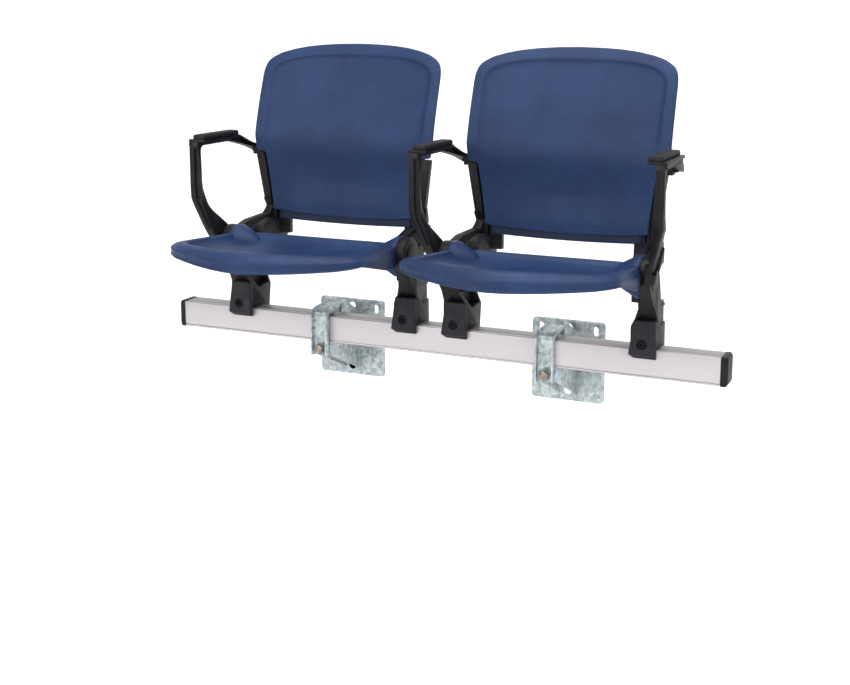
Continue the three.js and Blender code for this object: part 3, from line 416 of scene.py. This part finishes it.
# %% Rings
def stacked(rings):
    """A skin extruded from a circle through rings of places, left open with its last ring selected."""
    release()
    count = len(rings[0])
    bpy.ops.mesh.primitive_circle_add(vertices=count, radius=1, fill_type="NOTHING")
    skin = bpy.context.active_object
    for number, ring in enumerate(rings):
        edit(skin, "VERT", everything=number == 0)
        if number:
            bpy.ops.object.mode_set(mode="OBJECT")
            for vertex in skin.data.vertices[-count:]:
                vertex.select = True
            bpy.ops.object.mode_set(mode="EDIT")
            bpy.ops.mesh.extrude_region_move()
        bpy.ops.object.mode_set(mode="OBJECT")
        for vertex, place in zip(skin.data.vertices[-count:], ring):
            vertex.co = place
    bpy.ops.object.mode_set(mode="EDIT")
    return skin


def face_outwards():
    """Turns the faces of the open mesh outwards and leaves edit mode."""
    bpy.ops.mesh.select_all(action="SELECT")
    bpy.ops.mesh.normals_make_consistent(inside=False)
    release()


# %% [markdown]
# A tool is such a skin with both ends closed. Most tools have one outline seen
# from the side, or four corners that change with the height. Both are given
# outwards from a stanchion, so one list of numbers serves the left and the
# right side. The tool is thrown away after its cut.


# %% Tools
def prism(sections):
    """A closed tool through sections, each a ring of places (x, y, z)."""
    tool = stacked([[at(*place) for place in section] for section in sections])
    bpy.ops.mesh.select_all(action="SELECT")
    bpy.ops.mesh.fill_holes(sides=0)
    face_outwards()
    return tool


def swept(plane, side, outline, outs):
    """A tool with one side view outline of (y, z), between two distances outwards."""
    return prism([[(plane + side * out, y, z) for y, z in outline] for out in outs])


def rung(plane, side, outs, front, rear):
    """A section of four corners: its front and rear edges, each (y, z), between two distances outwards."""
    near, far = (plane + side * out for out in outs)
    return [(near, *front), (far, *front), (far, *rear), (near, *rear)]


def combine(obj, tool, operation):
    """Joins a tool to a piece or cuts it away, and throws the tool away."""
    apply_modifier(obj, "BOOLEAN", operation=operation, object=tool, solver="MANIFOLD")
    bpy.data.objects.remove(tool, do_unlink=True)


# %% [markdown]
# ## Pieces whose solids already have the right shape
#
# Many pieces only lack the rounded edges that catch the light. Their loose
# triangles are merged into whole faces on a copy, tools cut what the solid
# leaves plain, and a bevel rounds each sharp edge. That is quicker and truer
# than modelling a bolt again.


# %% Copies with rounded edges
def eased(node_name, width, material, tools=()):
    """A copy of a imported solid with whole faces, some cuts and rounded edges."""
    piece = bpy.data.objects.new(node_name + "_piece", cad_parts[node_name].data.copy())
    bpy.context.scene.collection.objects.link(piece)
    edit(piece)
    bpy.ops.mesh.remove_doubles(threshold=0.02 * MM)
    bpy.ops.mesh.dissolve_limited(angle_limit=radians(1))
    release()
    for tool, operation in tools:
        combine(piece, tool, operation)
    round_edges(piece, width)
    finish_piece(piece, node_name + "_piece", "row", material, node_name)


# %% [markdown]
# The brackets are cut and welded steel, and the beam is an extrusion. Sheet
# metal has edges of about a millimetre once it is galvanised, bolts have less,
# and the edges of an extrusion are sharper still.

# %% Brackets, beam and end caps
BRACKET_EDGES = {"wall_plate": 1, "arm": 0.8, "strap": 0.8, "strap_washer": 0.4}
for number in (1, 2):
    for part, width in BRACKET_EDGES.items():
        eased(f"bracket_{number}_{part}", width, ZINC)
    for part in ("strap_bolt", "strap_nut"):
        eased(f"bracket_{number}_{part}", 0.6, BOLT)
eased("beam", 0.5, ALUMINIUM)
for side in SIDES:
    eased(f"end_cap_{side}", 1, BLACK)

# %% [markdown]
# ## Stanchions
#
# A stanchion is one moulding: a foot hooked over the beam, a waisted neck, the
# hub, and an arm behind it. The outer pocket of the foot is closed by a cover in
# its mould, so a wedge is joined to the copy there. The rear of the foot is drawn
# in towards the outside, so a slice is cut away.

# %% Covers and trims of the foot
FOOT_COVER = ((10, 41), (62, 41), (60, 92), (-4, 92), (0, 66))
COVER_OUTS = (3, 24)
BEHIND_FOOT = ((67, -30), (96, -30), (96, 108), (61, 108))
BEHIND_OUTS = (4, 40)


def stanchion_tools(plane, side):
    """What closes the outer pocket of a foot, and what trims the foot behind it."""
    return [(swept(plane, side, FOOT_COVER, COVER_OUTS), "UNION"),
            (swept(plane, side, BEHIND_FOOT, BEHIND_OUTS), "DIFFERENCE")]


# %% [markdown]
# The upright runs from the hub back and up beside the back. Two thin plates
# stiffen it: a web that fills the gap between its strut and the arm below, and a
# fin behind the edge of the back. They are thin and flat, so the two kinds of
# tool from above make them as they are.

# %% Webs and fins of the uprights
WEB_OUTLINE = ((32, 140), (30, 172), (50, 182), (100, 195), (120, 198), (120, 160), (70, 130))
WEB_OUTS = (-14, 6)
FIN_FRONT, FIN_REAR = 112, 116
FIN_ROWS = ((184, -27, -12), (215, -28, -12), (235, -25, -10), (338, -12, 0))


def add_plates(stem, plane, side):
    """The web under the strut of an upright, and the fin behind the edge of the back."""
    web = swept(plane, side, WEB_OUTLINE, WEB_OUTS)
    finish_piece(web, stem + "strut_web", "row", BLACK, stem + "upright")
    rows = [rung(plane, side, outs, (FIN_FRONT, z), (FIN_REAR, z)) for z, *outs in FIN_ROWS]
    fin = prism(rows)
    finish_piece(fin, stem + "upright_fin", "row", BLACK, stem + "upright")


# %% [markdown]
# With those, all four stanchions are made in one loop. Each has its clamp block
# in front of the beam, the bolt in its recess, and the round cap on its hub.

# %% All four stanchions
for seat in SEAT_CENTRES:
    for side, sign in SIDES.items():
        stem = f"{seat}_{side}_"
        plane = stanchion_plane(seat, side)
        eased(stem + "stanchion", 1.4, BLACK, stanchion_tools(plane, sign))
        eased(stem + "clamp_block", 1.4, CLAMP)
        eased(stem + "clamp_bolt", 0.5, BLACK_STEEL)
        eased(stem + "hub_cap", 0.5, BLACK)
        eased(stem + "upright", 1.2, BLACK)
        add_plates(stem, plane, sign)

# %% [markdown]
# ## Armrests
#
# An armrest is a flat loop whose post spreads outwards above the hub. Down the
# front of the post its inner half lies a step back, and the link behind the pad
# is hollow. The outer face is drawn in a little. All three are cuts, each with a
# section for every height at which the post changes its course.

# %% Cuts of an armrest
ARM_INNER = ((170, 15), (258, 39.5))
ARM_OUTER = ((170, 34), (258, 61))
REBATE = (((-92, 184), (-79, 192)), ((-107, 250), (-97, 253.5)), ((-108, 286), (-98, 286)),
          ((-108, 368), (-98, 368)))
REBATE_BEFORE, REBATE_WIDTH = 3, 9
LINK_POCKET = ((52, 371), (57, 378), (88, 362), (84, 360))
POCKET_OUTS = (10, 36)
TRIM_HEIGHTS = (166, 258, 300, 373)
TRIM_FRONT, TRIM_REAR, TRIM_REACH = -130, -50, 8
TRIM_DEPTH = {-1: 1.5, 1: 4}


def armrest_tools(plane, side):
    """What steps the front of a post back, opens its link and draws its outer face in."""
    rebate, trim = [], []
    for (y, z), rear in REBATE:
        inner = along(z, ARM_INNER)
        rebate.append(rung(plane, side, (inner - REBATE_BEFORE, inner + REBATE_WIDTH), (y, z), rear))
    for z in TRIM_HEIGHTS:
        face = along(z, ARM_OUTER) - TRIM_DEPTH[side]
        trim.append(rung(plane, side, (face, face + TRIM_REACH), (TRIM_FRONT, z), (TRIM_REAR, z)))
    pocket = swept(plane, side, LINK_POCKET, POCKET_OUTS)
    return [(tool, "DIFFERENCE") for tool in (prism(rebate), pocket, prism(trim))]


# %% [markdown]
# Where the link meets the upright, a small block holds the two together. Blocks
# return under the backs, so a helper makes one: a cube is added, each of its
# corners is put on the nearest corner of a box, and its edges are rounded.


# %% Blocks
def add_block(name, box, width, material, node_name):
    """A block that fills a box of ranges along X, Y and Z, with rounded edges."""
    release()
    bpy.ops.mesh.primitive_cube_add(size=1)
    block = bpy.context.active_object
    for vertex in block.data.vertices:
        vertex.co = at(*(span[value > 0] for span, value in zip(box, vertex.co)))
    edit(block)
    face_outwards()
    round_edges(block, width)
    finish_piece(block, name, "row", material, node_name)


# %% Armrests with their pads
SOCKET_OUTS, SOCKET_DEPTHS, SOCKET_HEIGHTS = (2, 24), (98, 123), (337, 356)
for seat, side in (("seat_1", "left"), ("seat_2", "left"), ("seat_2", "right")):
    stem = f"{seat}_{side}_"
    plane, sign = stanchion_plane(seat, side), SIDES[side]
    eased(stem + "arm_frame", 1.2, BLACK, armrest_tools(plane, sign))
    reach = sorted(plane + sign * out for out in SOCKET_OUTS)
    add_block(stem + "link_socket", (reach, SOCKET_DEPTHS, SOCKET_HEIGHTS), 1.5, BLACK,
              stem + "arm_frame")
    eased(stem + "arm_pad", 1.2, PAD)

# %% [markdown]
# ## Pieces inside the hubs
#
# Pins and bushes are seen only through narrow gaps, and they are already turned
# pieces. They stay as they were packed and only get their finish.

# %% Finishes of the solids that stay
INNER = {"pivot_pin": BLACK_STEEL, "stop_pin": BLACK_STEEL, "pivot_bush": CLAMP}
for name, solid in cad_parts.items():
    for ending, material in INNER.items():
        if name.endswith(ending):
            solid.data.materials.clear()
            solid.data.materials.append(material)
            print(name, material.name)

# %% [markdown]
# ## Moulded panels
#
# A moulded shell is easiest to steer as rings: the outline first, and each
# further ring so far in from the edge, so deep. A grid would be simpler but its
# rows wouldn't follow the rim, and the rim is what the eye reads. An outline is
# given as its right half, mirrored, and filled up with points at even steps.


# %% Outlines
def mirrored(right):
    """A whole outline from its right half, which runs from one end of the middle line to the other."""
    return right + [(-a, b) for a, b in reversed(right[1:-1])]


def spaced(outline, step):
    """The same outline with points no further apart than a step."""
    points = []
    for (a, b), (c, d) in zip(outline, outline[1:] + outline[:1]):
        parts = max(1, round(hypot(c - a, d - b) / step))
        points += [(a + (c - a) * part / parts, b + (d - b) * part / parts) for part in range(parts)]
    return points


def drawn_in(point, centre, inset):
    """A point moved towards the centre by an inset, or to a share of its way out where that is below zero."""
    (a, b), (p, q) = point, centre
    share = -inset if inset < 0 else 1 - inset / hypot(a - p, b - q)
    return p + (a - p) * share, q + (b - q) * share


# %% [markdown]
# The last ring of a panel is closed by one small face in its middle. Solidify
# then gives the wall behind the surface, for which the faces have to look the
# right way, and one level of Subdivision rounds what is left of the corners.

# %% Skins with a wall
PANEL_WALL = 5


def panel(outline, rings, place, facing):
    """A moulded shell: each ring of an outline is laid by a place function; it faces one way."""
    skin = stacked([[place(point, ring) for point in outline] for ring in rings])
    bpy.ops.mesh.edge_face_add()
    face_outwards()
    turned_towards(skin, facing)
    apply_modifier(skin, "SOLIDIFY", thickness=PANEL_WALL * MM, offset=-1)
    apply_modifier(skin, "SUBSURF", levels=1, use_limit_surface=False)
    return skin


def turned_towards(obj, facing):
    """Flips the faces of an open skin if they look away from a direction."""
    looks = sum((face.normal * face.area for face in obj.data.polygons), Vector())
    if looks.dot(Vector(facing)) < 0:
        edit(obj)
        bpy.ops.mesh.flip_normals()
        release()


# %% [markdown]
# ## Backs
#
# The back leans away above its bend and is hollow across. A band round its upper
# edge stands proud: it catches the light from above, and the step inside it is
# the first thing seen in the photograph. Below the bend the band dies away, and
# the panel is a little hollow from top to bottom too.

# %% Outline and rings of a back
BACK_CENTRE = (0, 394)
BACK_HALF = 222
BACK_STEP = 9
BACK_OUTLINE = mirrored([
    (0, 200), (60, 201), (117, 204), (181, 211), (178, 220), (187, 282), (196, 343), (215, 346), (218, 362),
    (221, 383), (221, 449), (220.5, 515), (219.5, 529), (216, 542), (210.5, 550), (201, 557), (185, 565.5),
    (159, 573), (129, 579), (91, 583.5), (49, 586), (0, 587)])
BACK_RINGS = [(0, 10), (0, 7), (1.5, 4.6), (5, 3.6), (11, 2.2), (17, 0.9), (22, 0.1), (25, 0.5), (28.5, 2.6),
              (33, 4.3), (40, 5), (58, 5.2), (80, 5), (-0.58, 5), (-0.42, 5), (-0.27, 5), (-0.15, 5),
              (-0.07, 5), (-0.03, 5), (-0.012, 5)]
print("points round a back", len(spaced(BACK_OUTLINE, BACK_STEP)), "rings", len(BACK_RINGS))

# %% Surface of a back
BACK_FRONT, BACK_DISH = 94, 22
BEND_Z, BEND_SPAN, LEAN = 370, 60, 0.4
HOLLOW_Z, HOLLOW_HALF, HOLLOW_DEPTH = 292, 72, 7
BAND_GONE_Z, BAND_FULL_Z = 352, 430


def back_dish(x):
    """How far the panel is hollowed at a width."""
    return BACK_DISH * (1 - min(1, (x / BACK_HALF) ** 2))


def back_depth(x, z):
    """Depth of the panel: it leans above the bend, is hollow across and a little hollow below."""
    rise = max(0, z - BEND_Z)
    lean = LEAN * rise * rise / (rise + BEND_SPAN)
    below = max(0, 1 - ((z - HOLLOW_Z) / HOLLOW_HALF) ** 2) ** 2
    return BACK_FRONT + lean + back_dish(x) * (1 + HOLLOW_DEPTH / BACK_DISH * below)


def back_place(centre_x):
    def place(point, ring):
        inset, depth = ring
        x, z = drawn_in(point, BACK_CENTRE, inset)
        banded = smooth(z, BAND_GONE_Z, BAND_FULL_Z) if inset else 1
        return at(centre_x + x, back_depth(x, z) + depth * banded, z)
    return place


for seat, centre_x in SEAT_CENTRES.items():
    back = panel(spaced(BACK_OUTLINE, BACK_STEP), BACK_RINGS, back_place(centre_x), (0, -1, 0))
    finish_piece(back, f"{seat}_back_panel", "row", BLUE, f"{seat}_back", angle=60)

# %% [markdown]
# Below the panel a narrow band, set back from it, joins the two lugs that bear
# on the stanchions. It is a flat grid, bowed as the panel is, with a wall. It
# lies in the panel's shade, and it and the lugs get a darker, greyer copy of the
# blue with that shade painted in.

# %% Bands and lugs below the backs
FLANGE_HALF, FLANGE_DEPTH, FLANGE_WALL = 162, 101, 5
FLANGE_LOW, FLANGE_BOW, FLANGE_TOP = 185, 6, 216
LUG_X, LUG_HALF, LUG_DEPTHS, LUG_HEIGHTS = 157, 12, (115, 119), (193, 214)


def flange_point(centre_x, across, up):
    """A point of the band, from its place across (-1 to 1) and up (0 to 1)."""
    x = FLANGE_HALF * across
    low = FLANGE_LOW + FLANGE_BOW * across ** 2
    return at(centre_x + x, FLANGE_DEPTH + back_dish(x), low + (FLANGE_TOP - low) * up)


for seat, centre_x in SEAT_CENTRES.items():
    release()
    bpy.ops.mesh.primitive_grid_add(x_subdivisions=24, y_subdivisions=4, size=1)
    band = bpy.context.active_object
    for vertex in band.data.vertices:
        vertex.co = flange_point(centre_x, 2 * vertex.co.x, vertex.co.y + 0.5)
    turned_towards(band, (0, -1, 0))
    apply_modifier(band, "SOLIDIFY", thickness=FLANGE_WALL * MM, offset=-1)
    round_edges(band, 1.2)
    finish_piece(band, f"{seat}_back_flange", "row", BLUE_PAINTED_SHADE, f"{seat}_back")
    for side, sign in SIDES.items():
        middle = centre_x + sign * LUG_X
        box = ((middle - LUG_HALF, middle + LUG_HALF), LUG_DEPTHS, LUG_HEIGHTS)
        add_block(f"{seat}_{side}_back_lug", box, 0.8, BLUE_PAINTED_SHADE, f"{seat}_back")

# %% [markdown]
# ## Seat pans
#
# A pan is a D with a deep front band, a broad rim and a basin. Its rings are laid
# in two zones: up the outer wall from its lower lip and over the rolled front
# edge, and then from the rim down into the basin. A ring of the wall is given by
# its share of the wall's height, and a ring of the top by its depth.

# %% Outline and rings of a pan
PAN_CENTRE = (0, -158)
PAN_STEP = 10
PAN_OUTLINE = mirrored([
    (0, 14), (75, 14), (150, 14), (177, 9), (203, -30), (211, -79), (215.6, -134), (220, -188), (220, -213),
    (220, -238), (216, -250), (205, -265), (184, -284), (150, -303), (107, -323), (66, -338), (30, -347),
    (0, -350)])
PAN_WALL = [(5, 0.02), (1.5, 0), (0, 0.03), (0, 0.09), (2.4, 0.13), (1.2, 0.3), (0.1, 0.5), (0.5, 0.56),
            (3.6, 0.66), (8, 0.79), (13, 0.9), (19, 0.97)]
PAN_TOP = [(25, 0), (31, -0.6), (34, -3), (37, -7.5), (42, -12.5), (51, -17), (65, -20.5), (84, -23),
           (-0.46, -24), (-0.32, -25.5), (-0.2, -26), (-0.11, -26), (-0.05, -26), (-0.02, -26)]
PAN_RINGS = [("wall", *ring) for ring in PAN_WALL] + [("top", *ring) for ring in PAN_TOP]
print("points round a pan", len(spaced(PAN_OUTLINE, PAN_STEP)), "rings", len(PAN_RINGS))

# %% [markdown]
# The rim rises to the front, and the band below it is deepest at the corners.
# The rolled edge is full along the front and dies away towards the pivots. The
# two pans of the photograph don't hang quite level, so a last turn about the
# pivots tips each by a part of a degree.

# %% Surface of a pan
RIM = ((-350, 202), (14, 172.5))
SKIRT = ((-350, 161), (-238, 171), (-40, 121))
BAND_HEIGHT, ROLL_WIDTH = 44, 25
ROLL = ((-235, 1), (-40, 0.3))
FLAT_FROM_Y, FLAT_TO_Y, FLATTENED = -60, 10, 0.35


def tipped(x, y, z, angle):
    """A place turned about the pivot, with the front going down for a positive angle."""
    back, up = y - HUB_Y, z - HUB_Z
    return at(x, HUB_Y + back * cos(angle) - up * sin(angle), HUB_Z + up * cos(angle) + back * sin(angle))


def pan_place(centre_x, tilt):
    def place(point, ring):
        zone, inset, height = ring
        roll = along(point[1], ROLL)
        if zone == "wall":
            x, y = drawn_in(point, PAN_CENTRE, inset * roll)
            rim = along(y, RIM)
            low = max(along(y, SKIRT), rim - BAND_HEIGHT)
            return tipped(centre_x + x, y, low + (rim - low) * height, tilt)
        x, y = drawn_in(point, PAN_CENTRE, inset - ROLL_WIDTH * (1 - roll) if inset > 0 else inset)
        shallow = 1 - FLATTENED * smooth(y, FLAT_FROM_Y, FLAT_TO_Y)
        return tipped(centre_x + x, y, along(y, RIM) + height * shallow, tilt)
    return place


# %% [markdown]
# The lugs at the pivots are round, so each is spun from a half profile about the
# pivot's line. A spun mesh can come out inside out, so its doubles are merged and
# its faces are turned outwards before a Boolean joins it to the shell. A second
# spun body then clears the room for the hub.

# %% Lugs at the pivots
PAN_LUG = ((-64, 0), (-59, 12), (-44, 25), (-13, 42), (-10.5, 43), (-0.8, 43), (0.4, 42), (0.7, 40), (0.7, 0))
HUB_ROOM = ((0.7, 0), (0.7, 46), (24, 46), (24, 0))
SPIN_STEPS = 64


def spun(plane, side, profile):
    """A body turned about the pivot's line, from a profile of distances outwards and radii."""
    release()
    bpy.ops.mesh.primitive_circle_add(vertices=len(profile), radius=1, fill_type="NOTHING")
    body = bpy.context.active_object
    for vertex, (out, radius) in zip(body.data.vertices, profile):
        vertex.co = at(plane + side * out, HUB_Y, HUB_Z + radius)
    edit(body, "EDGE", everything=False)
    bpy.ops.object.mode_set(mode="OBJECT")
    for line in body.data.edges:
        line.select = set(line.vertices) == {0, len(profile) - 1}
    bpy.ops.object.mode_set(mode="EDIT")
    bpy.ops.mesh.delete(type="EDGE_FACE")
    bpy.ops.mesh.select_all(action="SELECT")
    bpy.ops.mesh.spin(steps=SPIN_STEPS, angle=2 * pi, center=at(0, HUB_Y, HUB_Z), axis=(1, 0, 0))
    bpy.ops.mesh.select_all(action="SELECT")
    bpy.ops.mesh.remove_doubles(threshold=0.02 * MM)
    face_outwards()
    return body


# %% Pans
PAN_TILTS = {"seat_1": 0.75, "seat_2": -0.75}
for seat, centre_x in SEAT_CENTRES.items():
    tilt = radians(PAN_TILTS[seat])
    pan = panel(spaced(PAN_OUTLINE, PAN_STEP), PAN_RINGS, pan_place(centre_x, tilt), (0, 0, 1))
    for side, sign in SIDES.items():
        plane = stanchion_plane(seat, side)
        combine(pan, spun(plane, sign, PAN_LUG), "UNION")
        combine(pan, spun(plane, sign, HUB_ROOM), "DIFFERENCE")
    finish_piece(pan, f"{seat}_pan_shell", f"pan_{seat[-1]}", BLUE, f"{seat}_pan", angle=40)

# %% [markdown]
# ## Floor and backdrop
#
# The row hangs on a wall in use; for a catalogue it floats over a pale sweep of
# paper. A plane with one edge pulled up and rounded has no horizon line. The
# paper shines a little for the camera alone, so that it looks white and still
# throws no extra light on the seats.


# %% Pale paper
def pale_paper():
    material, tree, shader, place = start_material("pale_paper", Roughness=0.9, Specular_IOR_Level=0.1)
    tones = noise(tree, place, scale=3, detail=2)
    feed(tree, ramp(tree, tones, [(0.3, hue(243, 243, 243)), (0.7, hue(247, 247, 247))]), shader, "Base Color")
    shader.inputs["Emission Color"].default_value = (1, 1, 1, 1)
    seen = node(tree, "ShaderNodeLightPath").outputs["Is Camera Ray"]
    feed(tree, spread(tree, seen, 0, 0.32), shader, "Emission Strength")
    return material


# %% The sweep
PAPER_HALF, PAPER_FRONT, PAPER_REAR, FLOOR_Z = 9000, -6000, 3200, -520
WALL_HEIGHT, SWEEP_RADIUS = 6, 1.6
release()
bpy.ops.mesh.primitive_plane_add(size=1)
paper = bpy.context.active_object
for vertex in paper.data.vertices:
    x = PAPER_HALF if vertex.co.x > 0 else -PAPER_HALF
    vertex.co = at(x, PAPER_REAR if vertex.co.y > 0 else PAPER_FRONT, FLOOR_Z)
edit(paper, "EDGE", everything=False)
bpy.ops.object.mode_set(mode="OBJECT")
for line in paper.data.edges:
    line.select = all(paper.data.vertices[index].co.y > 1 for index in line.vertices)
bpy.ops.object.mode_set(mode="EDIT")
bpy.ops.mesh.extrude_region_move(TRANSFORM_OT_translate={"value": (0, 0, WALL_HEIGHT)})
release()
apply_modifier(paper, "BEVEL", width=SWEEP_RADIUS, segments=12, limit_method="ANGLE", angle_limit=radians(40))
choose(paper)
bpy.ops.object.shade_smooth()
paper.name = "paper"
paper.data.materials.append(pale_paper())
print("paper faces", len(paper.data.polygons))

# %% [markdown]
# ## Light
#
# Large soft lamps give the long, gentle highlights of the photograph: a key from
# the front left, a weaker fill from the right, and a broad one overhead, which
# draws the bright band along the rims.

# %% Lamps
LIT_PLACE = Vector((0, -0.2, 0.2))


def lamp(name, place, size, power):
    """A square lamp that looks at the middle of the row, in metres and watts."""
    data = bpy.data.lights.new(name, "AREA")
    data.shape = "SQUARE"
    data.size = size
    data.energy = power
    obj = bpy.data.objects.new(name, data)
    obj.location = place
    obj.rotation_euler = (LIT_PLACE - Vector(place)).to_track_quat("-Z", "Y").to_euler()
    bpy.context.scene.collection.objects.link(obj)
    print(name, "lamp at", place)


lamp("key", (-1.6, -3.8, 1.7), size=2.0, power=74)
lamp("fill", (3.2, -2.6, 1.4), size=2.4, power=40)
lamp("top", (0.2, -0.6, 3.4), size=2.6, power=105)

# %% [markdown]
# The world fills the shadows from all sides at half strength. The camera sees it
# at full white, so that nothing grey shows past the edge of the paper.

# %% World
world = bpy.data.worlds.new("studio")
bpy.context.scene.world = world
world.use_nodes = True
sky = world.node_tree.nodes["Background"]
sky.inputs["Color"].default_value = (1, 1, 1, 1)
seen = node(world.node_tree, "ShaderNodeLightPath").outputs["Is Camera Ray"]
feed(world.node_tree, spread(world.node_tree, seen, 0.5, 1.0), sky, "Strength")
print("world", world.name)
